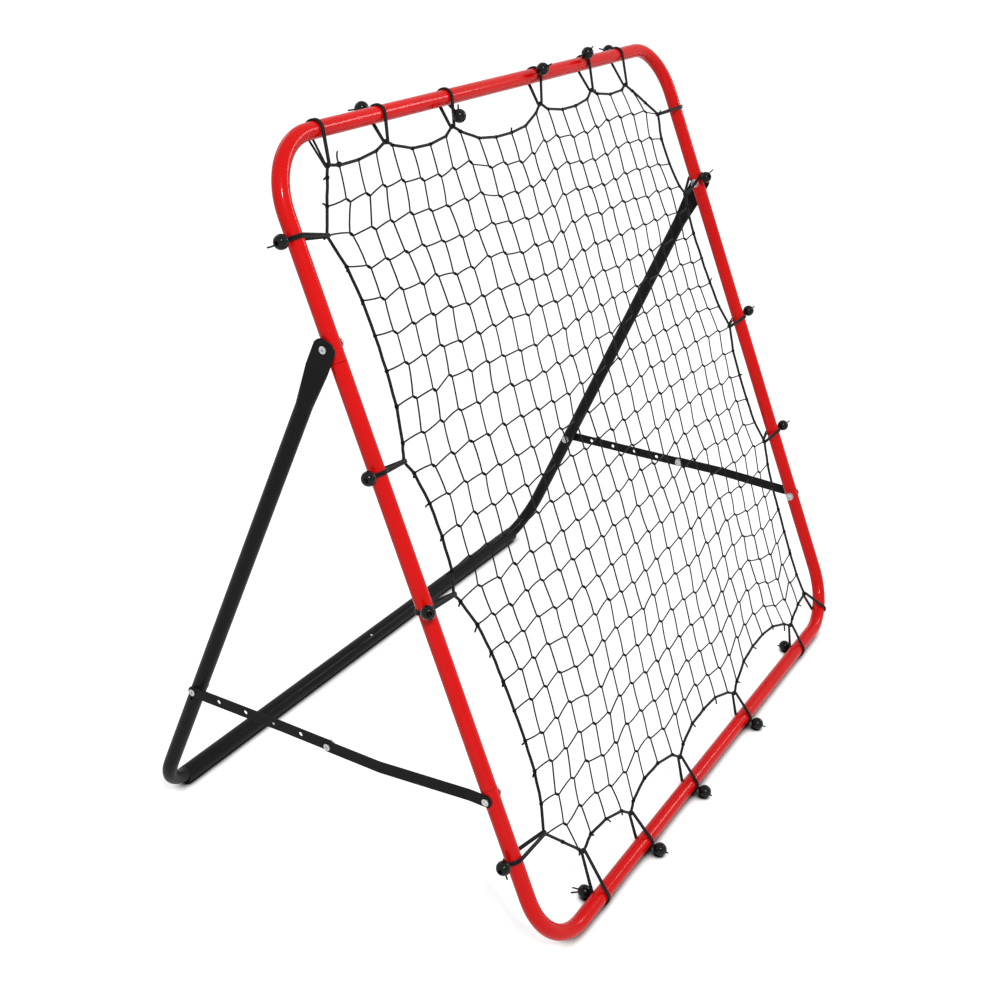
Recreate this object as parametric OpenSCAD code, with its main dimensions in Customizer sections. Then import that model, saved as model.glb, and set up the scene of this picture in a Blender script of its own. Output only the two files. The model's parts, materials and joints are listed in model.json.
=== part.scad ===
// Pitch back rebounder: a square steel tube frame that leans back, a net laced
// into it with ball bungees, and a folding rear leg held open by two-part braces.
// Millimetres. +Z is up, +Y is towards the rear leg, the origin is on the floor.

/* [Net frame] */
// Width and height of the frame between tube centre lines
frame_side = 980; // [980:5:1000]
// Outside diameter of the frame tube
tube_od = 20; // [19:0.5:21]
// Wall of the frame and leg tubes
tube_wall = 1.2; // [1:0.1:1.6]
// Bend radius of the frame corners, at the tube centre line
corner_bend = 80; // [70:5:90]
// Lean of the net frame, back from vertical, in degrees
lean = 22.5; // [21:0.5:24]
// Distance up the frame of the joint between the upper hoop and the side tubes
upper_seam = 736; // [732:1:740]
// Distance up the frame of the joint between the side tubes and the lower hoop
lower_seam = 224; // [221:1:226]
// Length of the swaged plug at each end of a side tube
plug_length = 44; // [40:1:50]

/* [Rear leg] */
// Distance up the frame of the leg pivot bolt
pivot_height = 755; // [753:1:757]
// Depth of the standing frame between the lower bar and the base bar
stance = 598; // [590:1:610]
// Outside diameter of the leg tube
leg_od = 20; // [19:0.5:21]
// Outside diameter of the base bar
base_od = 25; // [24.5:0.5:26]
// Length of the base bar
base_length = 910; // [896:2:912]
// Bend radius of the leg elbow, at the tube centre line
elbow_bend = 70; // [62:1:70]
// Width of the flattened end of the leg tube
tab_width = 29; // [27:0.5:30]
// Thickness of the flattened end of the leg tube
tab_thick = 2.5; // [2:0.1:3]

/* [Braces] */
// Distance up the frame of the front brace bolt
brace_height = 213; // [211:1:217]
// Distance down the leg from the pivot bolt to the rear brace bolt
leg_bolt_drop = 545; // [540:1:550]
// Pitch of the adjusting holes
hole_pitch = 43; // [40:1:44]
// Width of the brace strap
strap_width = 15; // [14:0.5:16]
// Thickness of the brace strap
strap_thick = 2; // [1.8:0.1:2.5]

/* [Net and bungees] */
// Thickness of the net
net_thick = 1.6; // [1.4:0.1:2]
// Width of a net strand
net_strand = 1.8; // [1.6:0.1:2.4]
// Strands across the net, each way
net_count = 17; // [12:1:18]
// Diameter of the rope round the net
rope_d = 3; // [3:0.1:4]
// Diameter of the bungee elastic
elastic_d = 3.5; // [3:0.1:3.6]
// Diameter of a bungee ball
ball_d = 17.5; // [16:0.5:18]
// Inward sag of the border rope between two bungees, as a share of their distance
sag = 0.1; // [0.06:0.01:0.12]

/* [Hidden] */
$fn = 48;

eps = 0.1;                       // gap between pieces that touch
slack = 0.2;                     // gap between pieces that turn on each other
long = 60;                       // length of a cutter that passes right through
bolt_r = 3;
bolt_hole_r = 3.05;
head_r = 4.5;
head_h = 2;
socket_r = 2;
socket_depth = 1.2;
nut_r = 5.77;
nut_h = 4;
flange_r = 6.3;                  // washer face under a nut
flange_h = 0.8;
tip_sunk = 1.2;                  // how far a bolt's tip lies below the top of its nut
spacer_r = 6.5;

tube_r = tube_od / 2;
bore_r = tube_r - tube_wall;
plug_r = bore_r - eps;
plug_bore_r = plug_r - tube_wall;
half = frame_side / 2;
seam_gap = 0.2;

elastic_r = elastic_d / 2;
rope_r = rope_d / 2;
ball_r = ball_d / 2;
flat_depth = 0.5;                // how far the cords under the lower bar are pressed flat
wrap_r = tube_r + elastic_r + eps;
hook_clear = rope_r * sqrt(2) + eps;
tube_flats = 12;
rope_flats = 4;
stem_r = 2.4;
stem_bore_r = 2.6;
stem_depth = 7;

leg_r = leg_od / 2;
leg_bore_r = leg_r - tube_wall;
base_r = base_od / 2;
base_bore_r = leg_r + eps;
tab_round = 10.5;                // corner radius of the flattened end
tab_over = 10;                   // how far the flattened end runs past the pivot
taper_start = 28;
taper_end = 78;
leg_plug = 50;
mouth_clear = 0.4;               // gap round the bend where it leaves the bar
rivet_x = -12;
rivet_r = 2;
rivet_h = 1;
rivet_shank_r = 1.2;
rivet_angle = 55;
mark_r = 2;
mark_drop = 14;

// Heights and depths of the main points, seen from the side.
bar_z = tube_r + elastic_d + eps - flat_depth;
seat = wrap_r + elastic_r + ball_r + 0.3;    // from the tube centre to a ball drawn against it
front_ball_angle = 122.9;
front_reach = seat * sin(front_ball_angle - lean) + ball_r;
bar_y = -(stance + base_r - front_reach) / 2;
foot_y = bar_y + stance;
foot_z = base_r;

function side_y(up) = bar_y + up * sin(lean);
function side_z(up) = bar_z + up * cos(lean);

pivot_y = side_y(pivot_height);
pivot_z = side_z(pivot_height);
leg_angle = atan2(pivot_z - foot_z, pivot_y - foot_y);
leg_length = norm([pivot_z - foot_z, pivot_y - foot_y]);
leg_bolt_y = pivot_y - leg_bolt_drop * cos(leg_angle);
leg_bolt_z = pivot_z - leg_bolt_drop * sin(leg_angle);
frame_bolt_y = side_y(brace_height);
frame_bolt_z = side_z(brace_height);
brace_angle = atan2(frame_bolt_z - leg_bolt_z, frame_bolt_y - leg_bolt_y);
brace_length = norm([frame_bolt_z - leg_bolt_z, frame_bolt_y - leg_bolt_y]);
rear_length = 5 * hole_pitch;
front_length = brace_length - rear_length;
strap_pad = 22;                  // straight end of a strap at its outer bolt
middle_pad = 75;                 // straight end of a strap at the middle bolt

// Places across the frame, on the right-hand side.
stile_out = half + tube_r;
spacer_out = stile_out + 3.8;
tab_in = spacer_out + eps;
tab_out = tab_in + tab_thick;
leg_x = stile_out + 3;
leg_out = leg_x + leg_r;
front_strap_in = stile_out + 0.3;
rear_strap_in = leg_out + 0.3;
middle_front_in = leg_out + 0.5;
middle_rear_in = middle_front_in - slack - strap_thick;
nut_in = half - tube_r - eps - nut_h;
leg_nut_in = leg_x - leg_r - eps - nut_h;

// Bungee places: [x, distance up the frame] of the border rope, clockwise from the
// top left corner, then the sag of the rope to the next one.
PINCH = [
    [-397, 940], [-279, 948], [-136, 944.5], [87, 942], [240, 941], [348, 935],
    [432, 873], [436, 744.5], [450.5, 521], [449.5, 322], [426.5, 60],
    [345, 40], [106, 40], [-89, 42], [-241, 45], [-362, 64],
    [-423, 126], [-435, 439], [-441, 604], [-438, 867]
];
STRAIGHT = [5, 10, 15, 19];
net_low = [-441, 40];
net_high = [451, 948];

// Where a bungee holds the tube: the point on the tube centre line. The one beside
// the right pivot holds the stile above the pivot, the one at the lower right its bend.
pivot_hold = 12;
bend_in = half - corner_bend;
corner_centre = [bend_in, corner_bend];
corner_way = PINCH[10] - corner_centre;
corner_turn = atan2(corner_way[1], corner_way[0]);
corner_hold = corner_centre + corner_bend * [cos(corner_turn), sin(corner_turn)];

// Each bungee: [number in PINCH, angle of the ball round the tube, reach of the ball].
// A reach of 0 is a bungee with no ball outside.
TOP = [[0, 180, 0], [1, 234, seat], [2, 33, 31.6], [3, 100, seat], [4, 118, seat], [5, 245, seat]];
RIGHT = [[6, 180, 0], [7, 66, seat + 1], [8, 150, seat], [9, 150, seat], [10, 180, 0]];
BOTTOM = [
    [11, -77.9, seat], [12, front_ball_angle, seat], [13, front_ball_angle, seat],
    [14, front_ball_angle, seat], [15, -77.9, seat]
];
LEFT = [[16, 178, seat], [17, 135, seat], [18, 168, seat], [19, 180, seat]];

function tube_point(i) =
    i == 7 ? [half, pivot_height + pivot_hold] :
    i == 10 ? corner_hold :
    i < 6 ? [PINCH[i][0], frame_side] :
    i < 11 ? [half, PINCH[i][1]] :
    i < 16 ? [PINCH[i][0], 0] : [-half, PINCH[i][1]];
function sag_after(i) = len(search(i, STRAIGHT)) > 0 ? 0 : sag;

// Puts a drawing made in the plane of the frame where the leaning frame is.
module on_frame() {
    translate([0, bar_y, bar_z]) rotate([90 - lean, 0, 0]) children();
}

// Puts a drawing whose Y axis runs up the leg, from the pivot, where the leg is.
module on_leg() {
    translate([0, pivot_y, pivot_z]) rotate([leg_angle, 0, 0]) children();
}

module on_frame_bolt() {
    translate([0, frame_bolt_y, frame_bolt_z]) rotate([brace_angle - 180, 0, 0]) children();
}

module on_leg_bolt() {
    translate([0, leg_bolt_y, leg_bolt_z]) rotate([brace_angle, 0, 0]) children();
}

module on_middle() {
    on_leg_bolt() translate([0, rear_length, 0]) children();
}

// A cylinder along X from one place to another.
module across(r, from, to) {
    translate([from, 0, 0]) rotate([0, 90, 0]) cylinder(r = r, h = to - from);
}

// A cylinder along Y from one place to another.
module along(r, from, to) {
    translate([0, from, 0]) rotate([-90, 0, 0]) cylinder(r = r, h = to - from);
}

module left_of() {
    mirror([1, 0, 0]) children();
}

// ---- Net frame tubes ----

module bend(bend_r, r) {
    rotate_extrude(angle = 90) translate([bend_r, 0]) circle(r = r);
}

// A hoop in the XY plane that opens towards +Y, its bar on the X axis.
module hoop_solid(r, arm) {
    translate([-bend_in, 0, 0]) rotate([0, 90, 0]) cylinder(r = r, h = 2 * bend_in);
    for (side = [0, 1]) mirror([side, 0, 0]) {
        translate([bend_in, corner_bend, 0]) rotate([0, 0, -90]) bend(corner_bend, r);
        translate([half, 0, 0]) along(r, corner_bend, arm);
    }
}

module hoop(arm, hole) {
    difference() {
        hoop_solid(tube_r, arm);
        hoop_solid(bore_r, arm + eps);
        translate([0, hole, 0]) for (side = [0, 1]) mirror([side, 0, 0]) {
            across(bolt_hole_r, half - long / 2, half + long / 2);
        }
    }
}

module upper_hoop() {
    color("firebrick") on_frame() translate([0, frame_side, 0]) mirror([0, 1, 0]) {
        hoop(frame_side - upper_seam, frame_side - pivot_height);
    }
}

module lower_hoop() {
    color("firebrick") on_frame() hoop(lower_seam, brace_height);
}

module side_tube() {
    color("firebrick") on_frame() difference() {
        translate([half, 0, 0]) {
            along(tube_r, lower_seam + seam_gap, upper_seam - seam_gap);
            along(plug_r, lower_seam - plug_length, upper_seam + plug_length);
        }
        translate([half, 0, 0]) {
            along(plug_bore_r, lower_seam - long, upper_seam + long);
            along(bore_r, lower_seam + 10, upper_seam - 10);
        }
        for (up = [brace_height, pivot_height]) translate([0, up, 0]) {
            across(bolt_hole_r, half - long / 2, half + long / 2);
        }
    }
}

module right_side_tube() { side_tube(); }
module left_side_tube() { left_of() side_tube(); }

// ---- Net, border rope and bungees ----

// Middle of the circle on which the rope sags between two points, on its outer side.
function sag_radius(chord, share) = chord * (0.25 + share * share) / (2 * share);
function left_normal(p, q) = [p[1] - q[1], q[0] - p[0]] / norm(q - p);
function sag_centre(p, q, share) =
    (p + q) / 2 + left_normal(p, q) * (sag_radius(norm(q - p), share) - share * norm(q - p));
function heading(p, q) = atan2(q[1] - p[1], q[0] - p[0]);

outline_steps = 4;
function span(i) = let (
        p = PINCH[i],
        q = PINCH[(i + 1) % len(PINCH)],
        share = sag_after(i)
    )
    share == 0 ? [p] : let (
        centre = sag_centre(p, q, share),
        start = heading(centre, p),
        sweep = 2 * asin(norm(q - p) / 2 / sag_radius(norm(q - p), share))
    )
    [for (k = [0 : outline_steps - 1]) let (a = start + sweep * k / outline_steps)
        centre + sag_radius(norm(q - p), share) * [cos(a), sin(a)]];
outline = [for (i = [0 : len(PINCH) - 1]) each span(i)];

module net() {
    net_size = net_high - net_low;
    color("dimgray") on_frame() intersection() {
        translate([0, 0, -net_thick / 2]) linear_extrude(net_thick) polygon(outline);
        union() {
            for (k = [1 : net_count]) {
                x = net_low[0] + net_size[0] * k / (net_count + 1);
                up = net_low[1] + net_size[1] * k / (net_count + 1);
                translate([x - net_strand / 2, net_low[1], -long / 2]) {
                    cube([net_strand, net_size[1], long]);
                }
                translate([net_low[0], up - net_strand / 2, -long / 2]) {
                    cube([net_size[0], net_strand, long]);
                }
            }
        }
    }
}

// The outline moved sideways by a distance, outwards where it is positive.
function moved(points, by) = [for (i = [0 : len(points) - 1]) let (
        n = len(points),
        before = left_normal(points[(i + n - 1) % n], points[i]),
        after = left_normal(points[i], points[(i + 1) % n]),
        way = (before + after) / norm(before + after)
    )
    points[i] + way * by / (way * after)];

module border_rope() {
    color("black") on_frame() translate([0, 0, -rope_r]) linear_extrude(rope_d) difference() {
        polygon(moved(outline, rope_r));
        polygon(moved(outline, -rope_r));
    }
}

// Flats round a circle from one angle to another, clear of it all the way.
function flats(centre, r, from, to, steps) = [for (k = [0 : steps])
    let (a = from + (to - from) * k / steps, clear = r / cos((to - from) / steps / 2))
    [centre + clear * cos(a), clear * sin(a)]];

// The way round the tube at the origin and the rope at x = reach.
function track(reach, open, tube, rope) = concat(
    flats(0, tube, open, 360 - open, tube_flats),
    flats(reach, rope, -open, open, rope_flats)
);

// One doubled elastic round the tube and the rope.
module elastic_loop(reach) {
    open = acos((tube_r + eps - hook_clear) / reach);
    translate([0, 0, -elastic_d]) linear_extrude(2 * elastic_d) difference() {
        polygon(track(reach, open, tube_r + eps + elastic_d, hook_clear + elastic_d));
        polygon(track(reach, open, tube_r + eps, hook_clear));
    }
}

// Puts a drawing in the plane across the tube at bungee i: X towards the rope, Y to the front.
module at_bungee(i) {
    hold = tube_point(i);
    on_frame() translate([hold[0], hold[1], 0]) rotate([0, 0, heading(hold, PINCH[i])]) {
        rotate([90, 0, 0]) children();
    }
}

module bungees(list) {
    for (one = list) at_bungee(one[0]) {
        elastic_loop(norm(PINCH[one[0]] - tube_point(one[0])));
        if (one[2] > 0) {
            rotate([0, 0, one[1]]) across(stem_r, wrap_r, one[2] - ball_r + stem_depth);
        }
    }
}

module balls(list) {
    for (one = list) if (one[2] > 0) at_bungee(one[0]) rotate([0, 0, one[1]]) difference() {
        translate([one[2], 0, 0]) sphere(r = ball_r);
        across(stem_bore_r, 0, one[2] - ball_r + stem_depth + eps);
    }
}

module top_bungees() { color("black") bungees(TOP); }
module left_bungees() { color("black") bungees(LEFT); }
module right_bungees() {
    color("black") difference() {
        bungees(RIGHT);
        on_frame() translate([half, pivot_height, 0]) along(tube_r + eps / 2, -long / 2, long / 2);
    }
}
module bottom_bungees() {
    color("black") difference() {
        bungees(BOTTOM);
        translate([-half, bar_y - long, -long]) cube([2 * half, 2 * long, long]);
    }
}
module top_balls() { color("black") balls(TOP); }
module left_balls() { color("black") balls(LEFT); }
module right_balls() { color("black") balls(RIGHT); }
module bottom_balls() { color("black") balls(BOTTOM); }

// ---- Bolts and nuts, all across the frame ----

module bolt(head_in, tip) {
    difference() {
        union() {
            across(bolt_r, tip, head_in + eps);
            across(head_r, head_in, head_in + head_h);
        }
        translate([head_in + head_h - socket_depth, 0, 0]) rotate([0, 90, 0]) {
            cylinder(r = socket_r, h = long, $fn = 6);
        }
    }
}

module nut(from, bore_depth = long) {
    difference() {
        union() {
            translate([from, 0, 0]) rotate([0, 90, 0]) cylinder(r = nut_r, h = nut_h, $fn = 6);
            across(flange_r, from + nut_h - flange_h, from + nut_h);
        }
        across(bolt_hole_r, from - eps, from + bore_depth);
    }
}

module right_pivot_spacer() {
    color("black") on_frame() translate([0, pivot_height, 0]) difference() {
        across(spacer_r, half + 4, spacer_out);
        translate([half, 0, 0]) along(tube_r + eps, -long, long);
        across(bolt_hole_r, 0, half + long);
    }
}

module right_pivot_bolt() {
    color("silver") on_frame() translate([0, pivot_height, 0]) bolt(tab_out + eps, nut_in + tip_sunk);
}

module right_pivot_nut() {
    color("silver") on_frame() translate([0, pivot_height, 0]) nut(nut_in);
}

module right_frame_bolt() {
    color("silver") on_frame_bolt() bolt(front_strap_in + strap_thick + eps, nut_in + tip_sunk);
}

module right_frame_nut() {
    color("silver") on_frame_bolt() nut(nut_in);
}

module right_leg_bolt() {
    color("silver") on_leg_bolt() bolt(rear_strap_in + strap_thick + eps, leg_nut_in + tip_sunk);
}

module right_leg_nut() {
    color("silver") on_leg_bolt() nut(leg_nut_in);
}

module right_middle_bolt() {
    color("silver") on_middle() bolt(middle_front_in + strap_thick + eps, middle_front_in - slack / 4);
}

module right_middle_nut() {
    nut_from = middle_rear_in - eps - nut_h;
    color("silver") on_middle() {
        nut(nut_from, tip_sunk);
        across(bolt_r, nut_from + nut_h - eps, middle_front_in - slack * 3 / 4);
    }
}

module left_pivot_spacer() { left_of() right_pivot_spacer(); }
module left_pivot_bolt() { left_of() right_pivot_bolt(); }
module left_pivot_nut() { left_of() right_pivot_nut(); }
module left_frame_bolt() { left_of() right_frame_bolt(); }
module left_frame_nut() { left_of() right_frame_nut(); }
module left_leg_bolt() { left_of() right_leg_bolt(); }
module left_leg_nut() { left_of() right_leg_nut(); }
module left_middle_bolt() { left_of() right_middle_bolt(); }
module left_middle_nut() { left_of() right_middle_nut(); }

// ---- Rear leg ----

module elbow(r) {
    translate([leg_x - elbow_bend, elbow_bend - leg_length, 0]) rotate([0, 0, -90]) bend(elbow_bend, r);
}

// The leg tube below its flattened end, with its elbow and the plug for the base bar.
module leg_tube(r, top, plug_end) {
    translate([leg_x, 0, 0]) along(r, elbow_bend - leg_length, top);
    elbow(r);
    translate([0, -leg_length, 0]) across(r, plug_end, leg_x - elbow_bend);
}

// The flattened end, a plate with rounded corners that runs past the pivot.
module tab() {
    corner_y = tab_over - tab_round;
    corner_z = tab_width / 2 - tab_round;
    translate([tab_in, -taper_start, -tab_width / 2]) {
        cube([tab_thick, taper_start + corner_y, tab_width]);
    }
    translate([tab_in, -taper_start, -corner_z]) {
        cube([tab_thick, taper_start + tab_over, 2 * corner_z]);
    }
    for (z = [-corner_z, corner_z]) translate([0, corner_y, z]) across(tab_round, tab_in, tab_out);
}

module right_leg() {
    color("dimgray") on_leg() difference() {
        union() {
            leg_tube(leg_r, -taper_end, base_length / 2 - leg_plug);
            hull() {
                translate([tab_in, -taper_start - eps, -tab_width / 2]) {
                    cube([tab_thick, eps, tab_width]);
                }
                translate([leg_x, 0, 0]) along(leg_r, -taper_end, eps - taper_end);
            }
            tab();
        }
        leg_tube(leg_bore_r, -taper_end - 2, base_length / 2 - leg_plug - 1);
        across(bolt_hole_r, leg_x - long, leg_x + long);
        translate([0, -leg_bolt_drop, 0]) across(bolt_hole_r, leg_x - long, leg_x + long);
        translate([0, -leg_bolt_drop - mark_drop, 0]) across(mark_r, leg_x, leg_x + long);
    }
}

module left_leg() { left_of() right_leg(); }

module base_bar() {
    color("dimgray") difference() {
        translate([0, foot_y, foot_z]) across(base_r, -base_length / 2, base_length / 2);
        translate([0, foot_y, foot_z]) across(base_bore_r, -base_length / 2 - 1, base_length / 2 + 1);
        translate([rivet_x, foot_y, foot_z]) rotate([90 - rivet_angle, 0, 0]) {
            cylinder(r = rivet_shank_r + eps, h = long);
        }
        for (side = [0, 1]) mirror([side, 0, 0]) on_leg() elbow(leg_r + mouth_clear);
    }
}

module base_rivet() {
    color("silver") translate([rivet_x, foot_y, foot_z]) rotate([90 - rivet_angle, 0, 0]) {
        translate([0, 0, base_r + eps]) cylinder(r = rivet_r, h = rivet_h);
        translate([0, 0, base_bore_r]) cylinder(r = rivet_shank_r, h = base_r + 2 * eps - base_bore_r);
    }
}

// ---- Braces ----

// A strap along Y from one bolt to the other, set across by a slight double bend
// between its straight ends.
module strap(reach, from_in, from_pad, to_in, to_pad) {
    end = strap_width / 2;
    mid = (from_in + to_in) / 2;
    intersection() {
        linear_extrude(strap_width, center = true) polygon([
            [from_in, -end], [from_in, from_pad], [to_in, reach - to_pad], [to_in, reach + end],
            [to_in + strap_thick, reach + end], [to_in + strap_thick, reach - to_pad],
            [from_in + strap_thick, from_pad], [from_in + strap_thick, -end]
        ]);
        union() {
            for (y = [0, reach]) translate([0, y, 0]) across(end, mid - long, mid + long);
            translate([mid - long, 0, -end]) cube([2 * long, reach, strap_width]);
        }
    }
}

module right_rear_strap() {
    color("dimgray") on_leg_bolt() difference() {
        strap(rear_length, rear_strap_in, strap_pad, middle_rear_in, middle_pad);
        for (k = [0 : 5]) translate([0, k * hole_pitch, 0]) {
            across(bolt_hole_r, leg_x - long, leg_x + long);
        }
    }
}

module right_front_strap() {
    color("dimgray") on_middle() difference() {
        strap(front_length, middle_front_in, middle_pad, front_strap_in, strap_pad);
        for (y = [0, front_length]) translate([0, y, 0]) {
            across(bolt_hole_r, leg_x - long, leg_x + long);
        }
    }
}

module left_rear_strap() { left_of() right_rear_strap(); }
module left_front_strap() { left_of() right_front_strap(); }

upper_hoop();
lower_hoop();
left_side_tube();
right_side_tube();
net();
border_rope();
top_bungees();
left_bungees();
right_bungees();
bottom_bungees();
top_balls();
left_balls();
right_balls();
bottom_balls();
left_pivot_spacer();
right_pivot_spacer();
left_pivot_bolt();
right_pivot_bolt();
left_pivot_nut();
right_pivot_nut();
left_frame_bolt();
right_frame_bolt();
left_frame_nut();
right_frame_nut();
left_leg();
right_leg();
base_bar();
base_rivet();
left_leg_bolt();
right_leg_bolt();
left_leg_nut();
right_leg_nut();
left_front_strap();
right_front_strap();
left_middle_bolt();
right_middle_bolt();
left_rear_strap();
right_rear_strap();
left_middle_nut();
right_middle_nut();
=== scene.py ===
"""Pitch back rebounder: the net, its cords, the finishes and the studio, on the packed frame."""
import json
import math
import random

import bmesh
import bpy
import numpy as np
from mathutils import Matrix, Vector

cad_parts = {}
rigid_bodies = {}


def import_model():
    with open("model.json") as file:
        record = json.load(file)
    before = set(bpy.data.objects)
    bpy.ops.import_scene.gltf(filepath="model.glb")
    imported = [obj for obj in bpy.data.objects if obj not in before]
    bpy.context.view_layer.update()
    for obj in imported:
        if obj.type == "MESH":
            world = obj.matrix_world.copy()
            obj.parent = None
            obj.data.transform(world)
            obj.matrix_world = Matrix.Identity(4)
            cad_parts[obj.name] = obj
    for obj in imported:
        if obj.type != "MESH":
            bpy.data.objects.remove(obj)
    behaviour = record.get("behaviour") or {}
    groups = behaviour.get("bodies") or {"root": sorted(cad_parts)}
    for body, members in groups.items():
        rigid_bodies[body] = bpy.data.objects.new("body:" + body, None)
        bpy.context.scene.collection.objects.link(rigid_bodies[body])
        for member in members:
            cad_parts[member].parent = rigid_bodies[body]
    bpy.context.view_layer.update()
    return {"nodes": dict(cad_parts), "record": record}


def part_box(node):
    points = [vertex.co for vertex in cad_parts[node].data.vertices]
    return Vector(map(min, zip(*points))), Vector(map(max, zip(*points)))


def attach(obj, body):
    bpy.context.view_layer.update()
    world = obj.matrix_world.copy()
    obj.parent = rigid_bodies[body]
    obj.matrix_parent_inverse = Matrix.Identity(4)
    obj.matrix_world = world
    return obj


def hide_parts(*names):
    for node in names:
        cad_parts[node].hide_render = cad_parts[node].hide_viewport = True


bl_info = {
    "name": "Pitch back rebounder",
    "version": (1, 0, 0),
    "blender": (4, 5, 0),
    "location": "View3D > Sidebar > Rebounder",
    "description": "Net, cords, finishes and studio of a pitch back rebounder",
    "category": "Add Mesh",
}

for leftover in list(bpy.data.objects):
    bpy.data.objects.remove(leftover)
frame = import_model()

MM = 0.001
BODY = "net_frame"

# The net frame leans back about the middle of its lower bar.
LEAN = math.radians(22.5)
TUBE_R = 10 * MM
HALF = 490 * MM
CORNER_BEND = 80 * MM
FRAME_SIDE = 980 * MM
SEAMS = (736 * MM, 224 * MM)
BAR_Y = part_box("lower_hoop")[0].y + TUBE_R
BAR_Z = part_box("lower_hoop")[0].z + TUBE_R

# The net has 22 meshes each way. Its border is counted in meshes, clockwise from the
# upper left corner.
MESHES = 22
ROUND = 4 * MESHES
# Its upper left corner, its meshes pulled out and slack, in millimetres, how uneven they
# are, and how many times the joints are pulled to their rest.
NET_CORNER = (-440, 934)
MESH = 40
SLACK_MESH = 37.0
UNEVEN = 0.05
PULLS = 900

# Each bungee's hold on the border rope: millimetres across and up the frame, the place on
# the border in meshes, then the sag of the rope to the next bungee as a share of their
# distance and how squarely it sags.
HOLDS = (
    (-397, 940, 0.45, 0.066, 3.0),
    (-279, 948, 3.70, 0.11, 3.4),
    (-136, 944.5, 7.60, 0.125, 3.0),
    (87, 942, 13.50, 0.105, 4.0),
    (240, 941, 17.60, 0.10, 3.4),
    (348, 935, 20.45, 0.0, 2.0),
    (425, 877, 23.0, 0.135, 3.0),
    (436, 744.5, 26.50, 0.08, 3.6),
    (450.5, 521, 32.0, 0.09, 3.6),
    (449.5, 322, 37.0, 0.055, 4.0),
    (426.5, 60, 44.0, 0.05, 3.0),
    (345, 40, 46.4, 0.13, 2.6),
    (106, 40, 52.5, 0.12, 3.0),
    (-89, 42, 57.5, 0.14, 3.6),
    (-241, 45, 61.4, 0.13, 3.0),
    (-362, 64, 64.7, 0.0, 2.0),
    (-423, 126, 67.15, 0.092, 3.4),
    (-435, 439, 75.35, 0.104, 3.4),
    (-441, 604, 79.5, 0.088, 3.0),
    (-438, 867, 86.0, 0.0, 2.0),
)

# Each bungee on its tube: its place along the tube in millimetres, then the ball's angle
# round the tube from the rope's side to the front, its reach and its shift along the tube.
# A bungee with a reach of 0 has no ball.
SEAT = 22.65
TIES = (
    (-397.8, 0, 0, 0),
    (-278.5, 235, SEAT, 0),
    (-133, 28, 31.0, -3),
    (93.5, 98, SEAT, -10),
    (238, 117, SEAT, -14),
    (345.8, 239, SEAT, 21),
    (877, 0, 0, 0),
    (766, 66, SEAT, -7),
    (524, 150, SEAT, 5),
    (326, 150, SEAT, 2),
    (60, 0, 0, 0),
    (342, -77.9, SEAT, 5),
    (110.5, 122.9, SEAT, 0),
    (-85.7, 122.9, SEAT, 0),
    (-232, 122.9, SEAT, 0),
    (-357.6, -77.9, SEAT, 0),
    (133, 178, SEAT, 2),
    (446, 135, SEAT, 1),
    (607.6, 168, SEAT, 1),
    (876.5, 180, SEAT, 0),
)
# Cut ends of the elastics that leave their ball sideways: millimetres across, up and to the
# front of the frame from the ball's middle.
TAILS = {
    1: ((-10, 3, -13),),
    2: ((1, 14, 3),),
    7: ((9, 8, 12),),
    15: ((-10, 4, -14), (-9, 11, -10)),
    16: ((0, -15, 0),),
    19: ((-10, -1, -13),),
}
# The elastic that holds the lower right corner goes round the bend of its hoop.
CORNER_TIE = 10
# How far the two strands stand apart at the tube, where that isn't random.
STRANDS_APART = {0: 2.6 * MM, 6: 0.3 * MM}
TOP = range(0, 6)
RIGHT = range(6, 11)
BOTTOM = range(11, 16)
LEFT = range(16, 20)
GROUPS = (("top", TOP), ("right", RIGHT), ("bottom", BOTTOM), ("left", LEFT))


def on_frame(across, up, out=0.0):
    """A point in the frame's plane, or a distance in front of it, in the row frame."""
    return Vector((
        across,
        BAR_Y + up * math.sin(LEAN) - out * math.cos(LEAN),
        BAR_Z + up * math.cos(LEAN) + out * math.sin(LEAN),
    ))


UP_FRAME = Vector((0, math.sin(LEAN), math.cos(LEAN)))
OUT_FRONT = Vector((0, -math.cos(LEAN), math.sin(LEAN)))
ACROSS = Vector((1, 0, 0))


# ---- Settings ----

def length(name, description, default):
    return bpy.props.FloatProperty(
        name=name, description=description, default=default, unit="LENGTH", precision=4)


def colour(name, description, default):
    return bpy.props.FloatVectorProperty(
        name=name, description=description, default=default, subtype="COLOR",
        size=3, min=0.0, max=1.0)


class FinishSettings(bpy.types.PropertyGroup):
    """Colours of the tubes, straps and fasteners"""
    frame_red: colour("Frame paint", "Powder coat of the net frame", (0.83, 0.004, 0.0035))
    leg_black: colour("Leg paint", "Powder coat of the legs and braces", (0.0115, 0.0115, 0.012))
    zinc: colour("Fasteners", "Zinc plate of the bolts and nuts", (0.50, 0.50, 0.52))
    nylon: colour("Spacers", "Nylon of the pivot spacers", (0.007, 0.007, 0.007))
    # The seams are thin dark bands of painted shade in the gaps of the tube joints.
    seam_width: length("Seam width", "Width of the joint lines on the side tubes", 0.5 * MM)


class NetSettings(bpy.types.PropertyGroup):
    """Sizes and colours of the net and its border rope"""
    twine: length("Twine", "Thickness of the net twine", 2.1 * MM)
    joint_length: length("Joint length", "Length of a twisted net joint", 8.5 * MM)
    joint_thickness: length("Joint thickness", "Thickness of a net joint", 3.7 * MM)
    rope: length("Border rope", "Thickness of the rope round the net", 3.8 * MM)
    twine_colour: colour("Twine colour", "Colour of the net twine", (0.007, 0.007, 0.008))
    rope_colour: colour("Rope colour", "Colour of the border rope", (0.006, 0.006, 0.007))


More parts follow.
